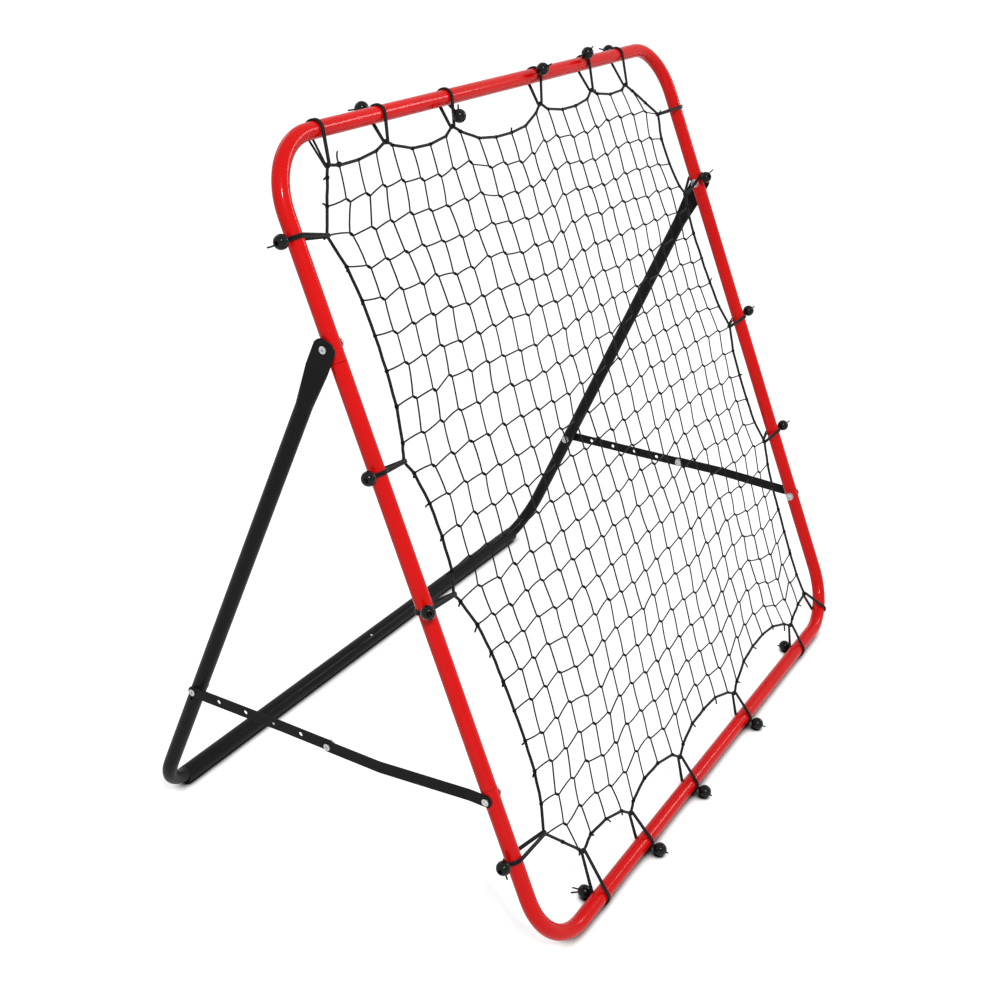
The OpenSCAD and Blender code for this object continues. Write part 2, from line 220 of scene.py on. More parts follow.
class BungeeSettings(bpy.types.PropertyGroup):
    """Sizes and colours of the ball bungees"""
    elastic: length("Elastic", "Thickness of one strand of elastic", 2.65 * MM)
    ball: length("Ball", "Diameter of a ball", 17.5 * MM)
    bore: length("Bore", "Diameter of the hole through a ball", 5.2 * MM)
    elastic_colour: colour("Elastic colour", "Cover of the elastic", (0.006, 0.006, 0.007))
    ball_colour: colour("Ball colour", "Colour of the balls", (0.005, 0.0055, 0.006))


class StageSettings(bpy.types.PropertyGroup):
    """Floor and studio light"""
    floor_colour: colour("Floor", "Colour of the floor", (0.72, 0.72, 0.72))
    sky: bpy.props.FloatProperty(
        name="Sky light", description="Strength of the light from all round",
        default=0.27, min=0.0)


GROUPS_OF_SETTINGS = (
    ("rebounder_finish", FinishSettings),
    ("rebounder_net", NetSettings),
    ("rebounder_bungee", BungeeSettings),
    ("rebounder_stage", StageSettings),
)


# ---- Materials ----

# Strength of the reflection at the surface of paint and of cord, as the shader counts it.
PAINT_GLOSS = 0.04
CORD_GLOSS = 0.12
# Painted shade: the dark red of the narrow gaps where the side tubes meet the hoops.
SEAM_SHADE_RED = (0.20, 0.004, 0.004)


def new_material(name, base, roughness, **others):
    """A material with one Principled shader, whose constants are on its own sockets."""
    material = bpy.data.materials.new(name)
    material.use_nodes = True
    tree = material.node_tree
    tree.nodes.clear()
    shader = tree.nodes.new("ShaderNodeBsdfPrincipled")
    output = tree.nodes.new("ShaderNodeOutputMaterial")
    tree.links.new(shader.outputs["BSDF"], output.inputs["Surface"])
    shader.inputs["Base Color"].default_value = (*base, 1)
    shader.inputs["Roughness"].default_value = roughness
    for socket, value in others.items():
        shader.inputs[socket.replace("_", " ")].default_value = value
    material.diffuse_color = (*base, 1)
    return material, tree, shader


def object_noise(tree, scale, detail=3.0, stretch=(1, 1, 1)):
    """Noise on Object coordinates: its factor runs from 0 to 1."""
    place = tree.nodes.new("ShaderNodeTexCoord")
    mapping = tree.nodes.new("ShaderNodeMapping")
    mapping.inputs["Scale"].default_value = stretch
    noise = tree.nodes.new("ShaderNodeTexNoise")
    noise.inputs["Scale"].default_value = scale
    noise.inputs["Detail"].default_value = detail
    tree.links.new(place.outputs["Object"], mapping.inputs["Vector"])
    tree.links.new(mapping.outputs["Vector"], noise.inputs["Vector"])
    return noise.outputs["Fac"]


def spread(tree, factor, low, high, start=0.3, end=0.7):
    """A factor turned into a value between low and high."""
    node = tree.nodes.new("ShaderNodeMapRange")
    node.inputs["From Min"].default_value = start
    node.inputs["From Max"].default_value = end
    node.inputs["To Min"].default_value = low
    node.inputs["To Max"].default_value = high
    tree.links.new(factor, node.inputs["Value"])
    return node.outputs["Result"]


def shaded(tree, factor, base, darker, lighter):
    """The base colour between a darker and a lighter shade of it."""
    ramp = tree.nodes.new("ShaderNodeValToRGB")
    ramp.color_ramp.elements[0].position = 0.3
    ramp.color_ramp.elements[1].position = 0.7
    ramp.color_ramp.elements[0].color = (*[c * darker for c in base], 1)
    ramp.color_ramp.elements[1].color = (*[min(1.0, c * lighter) for c in base], 1)
    tree.links.new(factor, ramp.inputs["Fac"])
    return ramp.outputs["Color"]


def bumped(tree, shader, height, strength, distance):
    """Raises the shader's surface by a height from 0 to 1, times the distance."""
    bump = tree.nodes.new("ShaderNodeBump")
    bump.inputs["Strength"].default_value = strength
    bump.inputs["Distance"].default_value = distance
    tree.links.new(height, bump.inputs["Height"])
    tree.links.new(bump.outputs["Normal"], shader.inputs["Normal"])


def maths(tree, operation, *values):
    """The result of a Math node on sockets and constants."""
    node = tree.nodes.new("ShaderNodeMath")
    node.operation = operation
    for socket, value in zip(node.inputs, values):
        if isinstance(value, bpy.types.NodeSocket):
            tree.links.new(value, socket)
        else:
            socket.default_value = value
    return node.outputs["Value"]


def powder_coat(name, base, roughness, coat, peel):
    """Sprayed and baked paint: a slight orange peel, and a shade that drifts a little."""
    material, tree, shader = new_material(
        name, base, roughness, Coat_Weight=coat, Coat_Roughness=0.05, Specular_IOR_Level=PAINT_GLOSS)
    drift = object_noise(tree, 7.0, 4.0)
    tree.links.new(shaded(tree, drift, base, 0.90, 1.06), shader.inputs["Base Color"])
    grain = object_noise(tree, 55.0, 2.0)
    tree.links.new(spread(tree, grain, roughness - 0.04, roughness + 0.05), shader.inputs["Roughness"])
    bumped(tree, shader, object_noise(tree, 600.0, 2.0), peel, 0.05 * MM)
    return material


def zinc_plate(base):
    """Bright zinc plate with fine handling marks."""
    material, tree, shader = new_material("zinc_plate", base, 0.26, Metallic=1.0)
    drift = object_noise(tree, 260.0, 3.0)
    tree.links.new(shaded(tree, drift, base, 0.82, 1.08), shader.inputs["Base Color"])
    tree.links.new(spread(tree, drift, 0.20, 0.38), shader.inputs["Roughness"])
    bumped(tree, shader, object_noise(tree, 2600.0, 2.0), 0.12, 0.03 * MM)
    return material


def moulded(name, base, roughness, coat):
    """Moulded plastic or nylon: nearly smooth, with a faint flow of the surface."""
    material, tree, shader = new_material(
        name, base, roughness, Coat_Weight=coat, Coat_Roughness=0.05, Specular_IOR_Level=PAINT_GLOSS)
    flow = object_noise(tree, 160.0, 2.0)
    tree.links.new(shaded(tree, flow, base, 0.85, 1.25), shader.inputs["Base Color"])
    tree.links.new(spread(tree, flow, roughness - 0.03, roughness + 0.06), shader.inputs["Roughness"])
    bumped(tree, shader, object_noise(tree, 900.0, 2.0), 0.06, 0.05 * MM)
    return material


def wave_of(tree, round_part, along_part, turns, pitch, lean):
    """A stripe round a cord: the sine of turns round it plus lengths along it, as 0 to 1."""
    around = maths(tree, "MULTIPLY", round_part, 2 * math.pi * turns)
    phase = maths(tree, "MULTIPLY_ADD", along_part, lean * 2 * math.pi / pitch, around)
    return spread(tree, maths(tree, "SINE", phase), 0.0, 1.0, -1.0, 1.0)


def corded(name, base, roughness, turns, pitch, strength, braided=True):
    """A braided or twisted cord, whose lay follows the cord by its own UV map. Its grooves are darkened as
    painted shade and its crowns lightened as a painted highlight.
    """
    material, tree, shader = new_material(
        name, base, roughness, Sheen_Weight=0.1, Sheen_Roughness=0.4, Specular_IOR_Level=CORD_GLOSS)
    place = tree.nodes.new("ShaderNodeUVMap")
    place.uv_map = CORD_MAP
    parts = tree.nodes.new("ShaderNodeSeparateXYZ")
    tree.links.new(place.outputs["UV"], parts.inputs["Vector"])
    height = wave_of(tree, parts.outputs["X"], parts.outputs["Y"], turns, pitch, 1.0)
    if braided:
        other = wave_of(tree, parts.outputs["X"], parts.outputs["Y"], turns, pitch, -1.0)
        height = maths(tree, "MAXIMUM", height, other)
    # Painted shade in the grooves of the lay and a painted highlight on the crowns of the strands, both
    # following the braid's height.
    tree.links.new(shaded(tree, height, base, 0.55, 1.5), shader.inputs["Base Color"])
    fuzz = object_noise(tree, 1500.0, 2.0)
    tree.links.new(spread(tree, fuzz, roughness - 0.08, roughness + 0.1), shader.inputs["Roughness"])
    bumped(tree, shader, height, strength, 0.35 * MM)
    return material


def give(obj, material):
    """Puts one material on the whole of an object."""
    if not obj.material_slots:
        obj.data.materials.append(material)
    for place in obj.material_slots:
        place.material = material


# ---- Geometry Nodes ----

CORD_MAP = "cord_lay"
SHARE = "thickness_share"
ALONG = "points_along"
SIZE = "piece_size"
MERGE = 0.05 * MM


def new_tree(name, inputs):
    """A node group with a mesh coming in, named inputs, and a mesh going out."""
    tree = bpy.data.node_groups.new(name, "GeometryNodeTree")
    tree.is_modifier = True
    tree.interface.new_socket("Geometry", in_out="INPUT", socket_type="NodeSocketGeometry")
    for label, kind in inputs:
        tree.interface.new_socket(label, in_out="INPUT", socket_type=kind)
    tree.interface.new_socket("Geometry", in_out="OUTPUT", socket_type="NodeSocketGeometry")
    return tree, tree.nodes.new("NodeGroupInput"), tree.nodes.new("NodeGroupOutput")


def linked(tree, kind, settings=None, **inputs):
    """A node with its inputs set: each value is a socket to link from or a constant."""
    node = tree.nodes.new(kind)
    for key, value in (settings or {}).items():
        setattr(node, key, value)
    for label, value in inputs.items():
        socket = node.inputs[label.replace("_", " ")]
        if isinstance(value, bpy.types.NodeSocket):
            tree.links.new(value, socket)
        else:
            socket.default_value = value
    return node


def captured(tree, geometry, value):
    """Keeps a value on the points of a curve before the curve becomes a mesh."""
    node = tree.nodes.new("GeometryNodeCaptureAttribute")
    node.capture_items.new("FLOAT", "Value")
    tree.links.new(geometry, node.inputs["Geometry"])
    tree.links.new(value, node.inputs[1])
    return node.outputs["Geometry"], node.outputs[1]


def named(tree, name, kind):
    """A stored attribute of the mesh."""
    node = tree.nodes.new("GeometryNodeInputNamedAttribute")
    node.data_type = kind
    node.inputs["Name"].default_value = name
    return node.outputs["Attribute"]


def finish_tree(tree, given, output, geometry):
    """Ends a tree: smooth shading, real faces and the material."""
    smooth = linked(tree, "GeometryNodeSetShadeSmooth", Geometry=geometry, Shade_Smooth=True)
    real = linked(tree, "GeometryNodeRealizeInstances", Geometry=smooth.outputs["Geometry"])
    painted = linked(
        tree, "GeometryNodeSetMaterial",
        Geometry=real.outputs["Geometry"], Material=given.outputs["Material"])
    tree.links.new(painted.outputs["Geometry"], output.inputs["Geometry"])
    return tree


def cord_tree():
    """Sweeps a round section along every edge path, with a UV map that follows the cord."""
    tree, given, output = new_tree("cord_along_path", (
        ("Thickness", "NodeSocketFloat"), ("Faces Round", "NodeSocketInt"),
        ("Material", "NodeSocketMaterial")))
    path = linked(tree, "GeometryNodeMeshToCurve", Mesh=given.outputs["Geometry"])
    run = tree.nodes.new("GeometryNodeSplineParameter")
    path_kept, along = captured(tree, path.outputs["Curve"], run.outputs["Length"])
    ring = linked(
        tree, "GeometryNodeCurveArc", {"mode": "RADIUS"},
        Resolution=maths(tree, "ADD", given.outputs["Faces Round"], 1),
        Radius=maths(tree, "MULTIPLY", given.outputs["Thickness"], 0.5),
        Sweep_Angle=2 * math.pi)
    turn = tree.nodes.new("GeometryNodeSplineParameter")
    ring_kept, about = captured(tree, ring.outputs["Curve"], turn.outputs["Factor"])
    swept = linked(
        tree, "GeometryNodeCurveToMesh",
        Curve=path_kept, Profile_Curve=ring_kept, Scale=named(tree, SHARE, "FLOAT"))
    both = linked(tree, "ShaderNodeCombineXYZ", X=about, Y=along)
    mapped = linked(
        tree, "GeometryNodeStoreNamedAttribute", {"data_type": "FLOAT2", "domain": "CORNER"},
        Geometry=swept.outputs["Mesh"], Name=CORD_MAP, Value=both.outputs["Vector"])
    merged = linked(
        tree, "GeometryNodeMergeByDistance", Geometry=mapped.outputs["Geometry"], Distance=MERGE)
    return finish_tree(tree, given, output, merged.outputs["Geometry"])


def piece_tree():
    """Sets a copy of a small piece on every point, its X axis along the point's direction."""
    tree, given, output = new_tree("piece_on_points", (
        ("Piece", "NodeSocketObject"), ("Roll", "NodeSocketFloat"), ("Seed", "NodeSocketInt"),
        ("Material", "NodeSocketMaterial")))
    piece = linked(tree, "GeometryNodeObjectInfo", Object=given.outputs["Piece"])
    aimed = linked(
        tree, "FunctionNodeAlignRotationToVector", {"axis": "X"},
        Vector=named(tree, ALONG, "FLOAT_VECTOR"))
    chance = linked(tree, "FunctionNodeRandomValue", {"data_type": "FLOAT"}, Seed=given.outputs["Seed"])
    tree.links.new(given.outputs["Roll"], chance.inputs[3])
    rolled = linked(
        tree, "FunctionNodeAxisAngleToRotation", Axis=(1, 0, 0), Angle=chance.outputs[1])
    turned = linked(
        tree, "FunctionNodeRotateRotation", {"rotation_space": "LOCAL"},
        Rotation=aimed.outputs["Rotation"], Rotate_By=rolled.outputs["Rotation"])
    placed = linked(
        tree, "GeometryNodeInstanceOnPoints",
        Points=given.outputs["Geometry"], Instance=piece.outputs["Geometry"],
        Rotation=turned.outputs["Rotation"], Scale=named(tree, SIZE, "FLOAT_VECTOR"))
    return finish_tree(tree, given, output, placed.outputs["Instances"])


TREES = {}


def tree_named(make):
    """The node tree that a function makes, made once."""
    if make.__name__ not in TREES:
        TREES[make.__name__] = make()
    return TREES[make.__name__]


def grown(name, mesh, tree, **inputs):
    """The plain mesh that a node tree makes of a mesh, as an object with no modifier."""
    seed = bpy.data.objects.new(name + "_source", mesh)
    bpy.context.scene.collection.objects.link(seed)
    modifier = seed.modifiers.new("Nodes", "NODES")
    modifier.node_group = tree
    for item in tree.interface.items_tree:
        if item.item_type == "SOCKET" and item.in_out == "INPUT" and item.name in inputs:
            modifier[item.identifier] = inputs[item.name]
    bpy.context.view_layer.update()
    evaluated = seed.evaluated_get(bpy.context.evaluated_depsgraph_get())
    result = bpy.data.meshes.new_from_object(evaluated)
    result.name = name
    bpy.data.objects.remove(seed)
    obj = bpy.data.objects.new(name, result)
    bpy.context.scene.collection.objects.link(obj)
    return obj


def path_mesh(name, paths, closed=False):
    """A mesh of edge paths. Each path is a list of (point, share of the thickness)."""
    points, shares, edges = [], [], []
    for path in paths:
        first = len(points)
        points += [tuple(p) for p, _ in path]
        shares += [s for _, s in path]
        edges += [(first + i, first + i + 1) for i in range(len(path) - 1)]
        if closed:
            edges.append((first + len(path) - 1, first))
    mesh = bpy.data.meshes.new(name)
    mesh.from_pydata(points, edges, [])
    mesh.attributes.new(SHARE, "FLOAT", "POINT").data.foreach_set("value", shares)
    return mesh


def point_mesh(name, places):
    """A mesh of loose points. Each is (point, direction, size)."""
    mesh = bpy.data.meshes.new(name)
    mesh.from_pydata([tuple(p) for p, _, _ in places], [], [])
    for label, values in ((ALONG, [d for _, d, _ in places]), (SIZE, [s for _, _, s in places])):
        flat = [c for v in values for c in v]
        mesh.attributes.new(label, "FLOAT_VECTOR", "POINT").data.foreach_set("vector", flat)
    return mesh


def cords(name, paths, thickness, material, faces=8, closed=False):
    """Round cords along paths, as one object."""
    mesh = path_mesh(name, paths, closed)
    inputs = {"Thickness": thickness, "Faces Round": faces, "Material": material}
    return grown(name, mesh, tree_named(cord_tree), **inputs)


def pieces_on(name, places, piece, material, roll=0.0, seed=1):
    """Copies of a piece on places, each turned by up to roll about its own way, as one object."""
    mesh = point_mesh(name, places)
    inputs = {"Piece": piece, "Roll": roll, "Seed": seed, "Material": material}
    return grown(name, mesh, tree_named(piece_tree), **inputs)


def joined(name, parts):
    """One object from several, its materials kept in their slots."""
    mesh = bpy.data.meshes.new(name)
    work = bmesh.new()
    materials = []
    for part in parts:
        first_face = len(work.faces)
        work.from_mesh(part.data)
        work.faces.ensure_lookup_table()
        offsets = []
        for material in part.data.materials:
            if material not in materials:
                materials.append(material)
            offsets.append(materials.index(material))
        for face in work.faces[first_face:]:
            face.material_index = offsets[face.material_index] if offsets else 0
    work.to_mesh(mesh)
    work.free()
    for material in materials:
        mesh.materials.append(material)
    for part in parts:
        bpy.data.objects.remove(part)
    obj = bpy.data.objects.new(name, mesh)
    bpy.context.scene.collection.objects.link(obj)
    return obj


def lathed(name, outline, steps):
    """A closed ring turned round the X axis from a closed outline of (along, radius)."""
    work = bmesh.new()
    rings = []
    for k in range(steps):
        a = 2 * math.pi * k / steps
        rings.append([work.verts.new((x, r * math.cos(a), r * math.sin(a))) for x, r in outline])
    for k in range(steps):
        here, there = rings[k], rings[(k + 1) % steps]
        for i in range(len(outline)):
            j = (i + 1) % len(outline)
            work.faces.new((here[i], here[j], there[j], there[i]))
    bmesh.ops.recalc_face_normals(work, faces=work.faces)
    mesh = bpy.data.meshes.new(name)
    work.to_mesh(mesh)
    work.free()
    mesh.polygons.foreach_set("use_smooth", [True] * len(mesh.polygons))
    obj = bpy.data.objects.new(name, mesh)
    bpy.context.scene.collection.objects.link(obj)
    return obj


def small_knot():
    """A rounded lump one unit long and thick, for the net's joints and the rope's whippings."""
    mesh = bpy.data.meshes.new("small_knot")
    work = bmesh.new()
    bmesh.ops.create_uvsphere(work, u_segments=8, v_segments=6, radius=0.5)
    bmesh.ops.rotate(work, verts=work.verts, matrix=Matrix.Rotation(math.pi / 2, 3, "Y"))
    work.to_mesh(mesh)
    work.free()
    obj = bpy.data.objects.new("small_knot", mesh)
    bpy.context.scene.collection.objects.link(obj)
    return obj


# ---- The net's lie ----

def span_points(index, shares):
    """Points of the border rope between a bungee and the next, at shares of the way."""
    ax, ay, _, sag, square = HOLDS[index]
    bx, by = HOLDS[(index + 1) % len(HOLDS)][:2]
    start = np.array((ax, ay), float)
    way = np.array((bx - ax, by - ay), float)
    inward = np.array((way[1], -way[0]))
    drop = sag * (1 - np.abs(2 * shares - 1) ** square)
    return start + np.outer(shares, way) + np.outer(drop, inward)


def border():
    """The border rope as (place in meshes, across, up), clockwise, in millimetres."""
    found = []
    fine = np.linspace(0, 1, 81)
    for index, hold in enumerate(HOLDS):
        here = hold[2]
        there = HOLDS[index + 1][2] if index + 1 < len(HOLDS) else HOLDS[0][2] + ROUND
        line = span_points(index, fine)
        run = np.concatenate(([0], np.cumsum(np.hypot(*np.diff(line, axis=0).T))))
        places = [here] + [k for k in range(math.ceil(here + 0.001), math.ceil(there))]
        for place in places:
            at = np.interp((place - here) / (there - here) * run[-1], run, fine)
            across, up = span_points(index, np.array([at]))[0]
            found.append((place, across, up))
    return found


def net_grid():
    """The net's joints [row][column] as (across, up) in millimetres, pulled taut."""
    count = MESHES + 1
    grid = np.zeros((count, count, 2))
    rows, columns = np.mgrid[0:count, 0:count]
    grid[..., 0] = NET_CORNER[0] + columns * MESH
    grid[..., 1] = NET_CORNER[1] - rows * MESH
    fixed = np.zeros((count, count), bool)
    for place, across, up in border():
        k = int(round(place)) % ROUND
        if abs(place - round(place)) > 1e-6:
            continue
        if k < MESHES:
            spot = (0, k)
        elif k < 2 * MESHES:
            spot = (k - MESHES, MESHES)
        elif k < 3 * MESHES:
            spot = (MESHES, 3 * MESHES - k)
        else:
            spot = (4 * MESHES - k, 0)
        grid[spot] = (across, up)
        fixed[spot] = True
    chance = np.random.default_rng(11)
    rest_across = SLACK_MESH * (1 + UNEVEN * chance.standard_normal((count, count - 1)))
    rest_up = SLACK_MESH * (1 + UNEVEN * chance.standard_normal((count - 1, count)))
    for _ in range(PULLS):
        pull = np.zeros_like(grid)
        for axis, rest in ((1, rest_across), (0, rest_up)):
            step = np.diff(grid, axis=axis)
            size = np.linalg.norm(step, axis=2)
            force = step * (np.maximum(size - rest, 0.15 * (size - rest)) / size)[..., None]
            if axis:
                pull[:, :-1] += force
                pull[:, 1:] -= force
            else:
                pull[:-1] += force
                pull[1:] -= force
        pull[fixed] = 0
        grid += 0.22 * pull
    return grid


def bowed(start, end, bow, steps, inset):
    """A cord from one point to another, bowed aside, closed to a point at its ends."""
    way = end - start
    path = [(start, 0.04), (start + way.normalized() * inset, 1.0)]
    for k in range(1, steps):
        t = k / steps
        path.append((start + way * t + bow * math.sin(math.pi * t), 1.0))
    return path + [(end - way.normalized() * inset, 1.0), (end, 0.04)]


# ---- The bungees' lie ----

def tie_place(index):
    """Tube centre, direction to the rope, front direction and tube direction of a bungee."""
    along = TIES[index][0] * MM
    hold = on_frame(HOLDS[index][0] * MM, HOLDS[index][1] * MM)
    if index == CORNER_TIE:
        middle = on_frame(HALF - CORNER_BEND, CORNER_BEND)
        outward = (hold - middle).normalized()
        centre = middle + outward * CORNER_BEND
    elif index in TOP:
        centre = on_frame(along, FRAME_SIDE)
    elif index in RIGHT:
        centre = on_frame(HALF, along)
    elif index in BOTTOM:
        centre = on_frame(along, 0)
    else:
        centre = on_frame(-HALF, along)
    if index == CORNER_TIE:
        tube = outward.cross(OUT_FRONT).normalized()
        inward = -outward if (hold - centre).dot(outward) < 0 else outward
    else:
        tube = ACROSS if index in TOP or index in BOTTOM else UP_FRAME
        inward = (hold - centre - tube * (hold - centre).dot(tube)).normalized()
    return centre, hold, inward, tube


def belt(index, side, thick, spread_at_tube):
    """One strand of a doubled elastic, round the tube and round the rope."""
    centre, hold, inward, tube = tie_place(index)
    strand = thick / 2
    wrap = TUBE_R + strand + 0.15 * MM
    hook = 1.5 * MM + strand
    offset = hold - centre
    reach = offset.dot(inward)
    slide = offset.dot(tube)
    opening = math.acos((wrap - hook) / reach)
    path = []
    lean = side * (strand + 0.05 * MM)
    for k in range(25):
        a = opening + (2 * math.pi - 2 * opening) * k / 24
        tilt = 1 - abs(math.sin(a / 2))
        place = centre + inward * wrap * math.cos(a) + OUT_FRONT * wrap * math.sin(a)
        apart = side * spread_at_tube * (1 - math.sin(a)) / 2
        path.append(place + tube * (apart + lean + slide * 0.12 * tilt))
    far, near = path[-1], path[0]
    turn = []
    for k in range(7):
        a = -opening + 2 * opening * k / 6
        place = centre + inward * (reach + hook * math.cos(a)) + OUT_FRONT * hook * math.sin(a)
        turn.append(place + tube * (slide + lean * 0.8))
    back = [far.lerp(turn[0], t) for t in (0.25, 0.5, 0.75)]
    front = [turn[-1].lerp(near, t) for t in (0.25, 0.5, 0.75)]
    return [(p, 1.0) for p in turn + front + path + back]


def ball_place(index):
    """Middle of a ball, the direction from its tube to it, and the tube's own direction."""
    _, angle, reach, shift = TIES[index]
    centre, _, inward, tube = tie_place(index)
    a = math.radians(angle)
    way = inward * math.cos(a) + OUT_FRONT * math.sin(a)
    return centre + way * reach * MM + tube * shift * MM, way, tube


# ---- Operators ----

class REBOUNDER_OT_finishes(bpy.types.Operator):
    """Paint, zinc and nylon on the parts that the frame already holds"""
    bl_idname = "rebounder.finishes"
    bl_label = "Tube and fastener finishes"

    def execute(self, context):
        s = context.scene.rebounder_finish
        red = powder_coat("red_powder_coat", s.frame_red, roughness=0.30, coat=0.20, peel=0.015)
        black = powder_coat("black_powder_coat", s.leg_black, roughness=0.42, coat=0.05, peel=0.06)
        zinc = zinc_plate(s.zinc)
        nylon = moulded("black_nylon", s.nylon, roughness=0.45, coat=0.0)
        by_slot = {"frame_paint": red, "leg_paint": black, "zinc": zinc, "spacer": nylon}
        slots = {part["node"]: part["material_slot"] for part in frame["record"]["subparts"]}
        for name, obj in frame["nodes"].items():
            if slots[name] in by_slot:
                give(obj, by_slot[slots[name]])
        return {"FINISHED"}


class REBOUNDER_OT_seams(bpy.types.Operator):
    """Fine dark lines of painted shade where the side tubes meet the hoops"""
    bl_idname = "rebounder.seams"
    bl_label = "Tube seams"

    def execute(self, context):
        s = context.scene.rebounder_finish
        # The dark red band is painted shade in the gap of each joint.
        painted_seam_shade = moulded("seam_shadow", SEAM_SHADE_RED, roughness=0.6, coat=0.0)
        half = s.seam_width / 2
        low, high = TUBE_R - 0.4 * MM, TUBE_R + 0.04 * MM
        ring = lathed("seam_ring", ((-half, low), (-half, high), (half, high), (half, low)), 40)
        places = [(on_frame(x, up), UP_FRAME, (1, 1, 1)) for x in (-HALF, HALF) for up in SEAMS]
        obj = pieces_on("side_tube_seams", places, ring, painted_seam_shade)
        bpy.data.objects.remove(ring)
        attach(obj, BODY)
        return {"FINISHED"}


class REBOUNDER_OT_net(bpy.types.Operator):
    """The knotless net: its twines and the twisted joints where they cross"""
    bl_idname = "rebounder.net"
    bl_label = "Net"

    def execute(self, context):
        s = context.scene.rebounder_net
        twine = corded("net_twine", s.twine_colour, 0.62, 2, 3.2 * MM, 0.5, braided=False)
        knots = moulded("net_joint", s.twine_colour, 0.6, 0.0)
        grid = net_grid()
        last = MESHES
        chance = random.Random(5)
        centre = {}
        for row in range(last + 1):
            for column in range(last + 1):
                across, up = grid[row, column] * MM
                inner = 0 < row < last and 0 < column < last
                out = chance.uniform(-0.8, 0.8) * MM if inner else 0.0
                centre[row, column] = on_frame(across, up, out)
        entry, leave, places = {}, {}, []
        for (row, column), middle in centre.items():
            entry[row, column] = leave[row, column] = middle
            if 0 < row < last and 0 < column < last:
                angle = math.radians(-42 + chance.uniform(-11, 11))
                way = ACROSS * math.cos(angle) + UP_FRAME * math.sin(angle)
                size = s.joint_length * chance.uniform(0.85, 1.12)
                entry[row, column] = middle - way * size * 0.40
                leave[row, column] = middle + way * size * 0.40
                thick = s.joint_thickness * chance.uniform(0.9, 1.1)
                places.append((middle, way, (size, thick, thick)))
        paths = []
        for row in range(last + 1):
            for column in range(last + 1):
                for down, right in ((1, 0), (0, 1)):
                    to = (row + down, column + right)
                    if to not in centre or (down and column in (0, last)) or (right and row in (0, last)):
                        continue
                    side = UP_FRAME if right else ACROSS
                    bow = side * chance.uniform(-0.9, 0.9) * MM + OUT_FRONT * chance.uniform(-0.5, 0.5) * MM
                    paths.append(bowed(leave[row, column], entry[to], bow, 3, 0.8 * MM))
        knot = small_knot()
        net = joined("net_of_twine", (
            cords("twines", paths, s.twine, twine, 6),
            pieces_on("joints", places, knot, knots, 3.0, 3),
        ))
        bpy.data.objects.remove(knot)
        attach(net, BODY)
        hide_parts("net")
        return {"FINISHED"}


class REBOUNDER_OT_border_rope(bpy.types.Operator):
    """The rope through the net's outer meshes, its whippings and their cut tails"""
    bl_idname = "rebounder.border_rope"
    bl_label = "Border rope"

    def execute(self, context):
        s = context.scene.rebounder_net
        braid = corded("border_braid", s.rope_colour, 0.55, 4, 7 * MM, 0.7)
        whip = moulded("rope_whipping", s.rope_colour, 0.65, 0.0)
        chance = random.Random(21)
        stations = border()
        ring, places, tails = [], [], []
        count = len(stations)
        for i, (place, across, up) in enumerate(stations):
            before = Vector(stations[i - 1][1:])
            after = Vector(stations[(i + 1) % count][1:])
            here = Vector((across, up))
            for t in (0.0, 0.34, 0.67):
                spot = here.lerp(after, t)
                sway = chance.uniform(-0.5, 0.5) if t else 0.0
                ring.append((on_frame(spot.x * MM, spot.y * MM, sway * MM), 1.0))
            if abs(place - round(place)) > 1e-6:
                continue
            way = (after - before).normalized()
            along = ACROSS * way.x + UP_FRAME * way.y
            outward = ACROSS * -way.y + UP_FRAME * way.x
            middle = on_frame(across * MM, up * MM)
            size = chance.uniform(5.0, 8.5) * MM
            thick = s.rope * chance.uniform(1.25, 1.5)
            places.append((middle, along, (size, thick, thick)))
            if chance.random() < self.tail_share(place):
                reach = chance.uniform(6, 13) * MM
                lean = chance.uniform(-1.2, 0.4)
                tip = middle + (outward + along * lean).normalized() * reach
                tip += OUT_FRONT * chance.uniform(-2, 3) * MM
                bow = along * chance.uniform(-1.5, 1.5) * MM
                tails.append(bowed(middle, tip, bow, 4, 0.5 * MM))
        knot = small_knot()
        rope = joined("border_rope_braided", (
            cords("rope", [ring], s.rope, braid, 10, closed=True),
            pieces_on("whippings", places, knot, whip, 3.0, 8),
            cords("tails", tails, s.twine * 1.1, whip, 6),
        ))
        bpy.data.objects.remove(knot)
        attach(rope, BODY)
        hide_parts("border_rope")
        return {"FINISHED"}

    @staticmethod
    def tail_share(place):
        """How often a whipping has a tail: most along the lower bar and the left side."""
        if place < MESHES:
            return 0.08
        if place < 2 * MESHES:
            return 0.12
        return 0.55


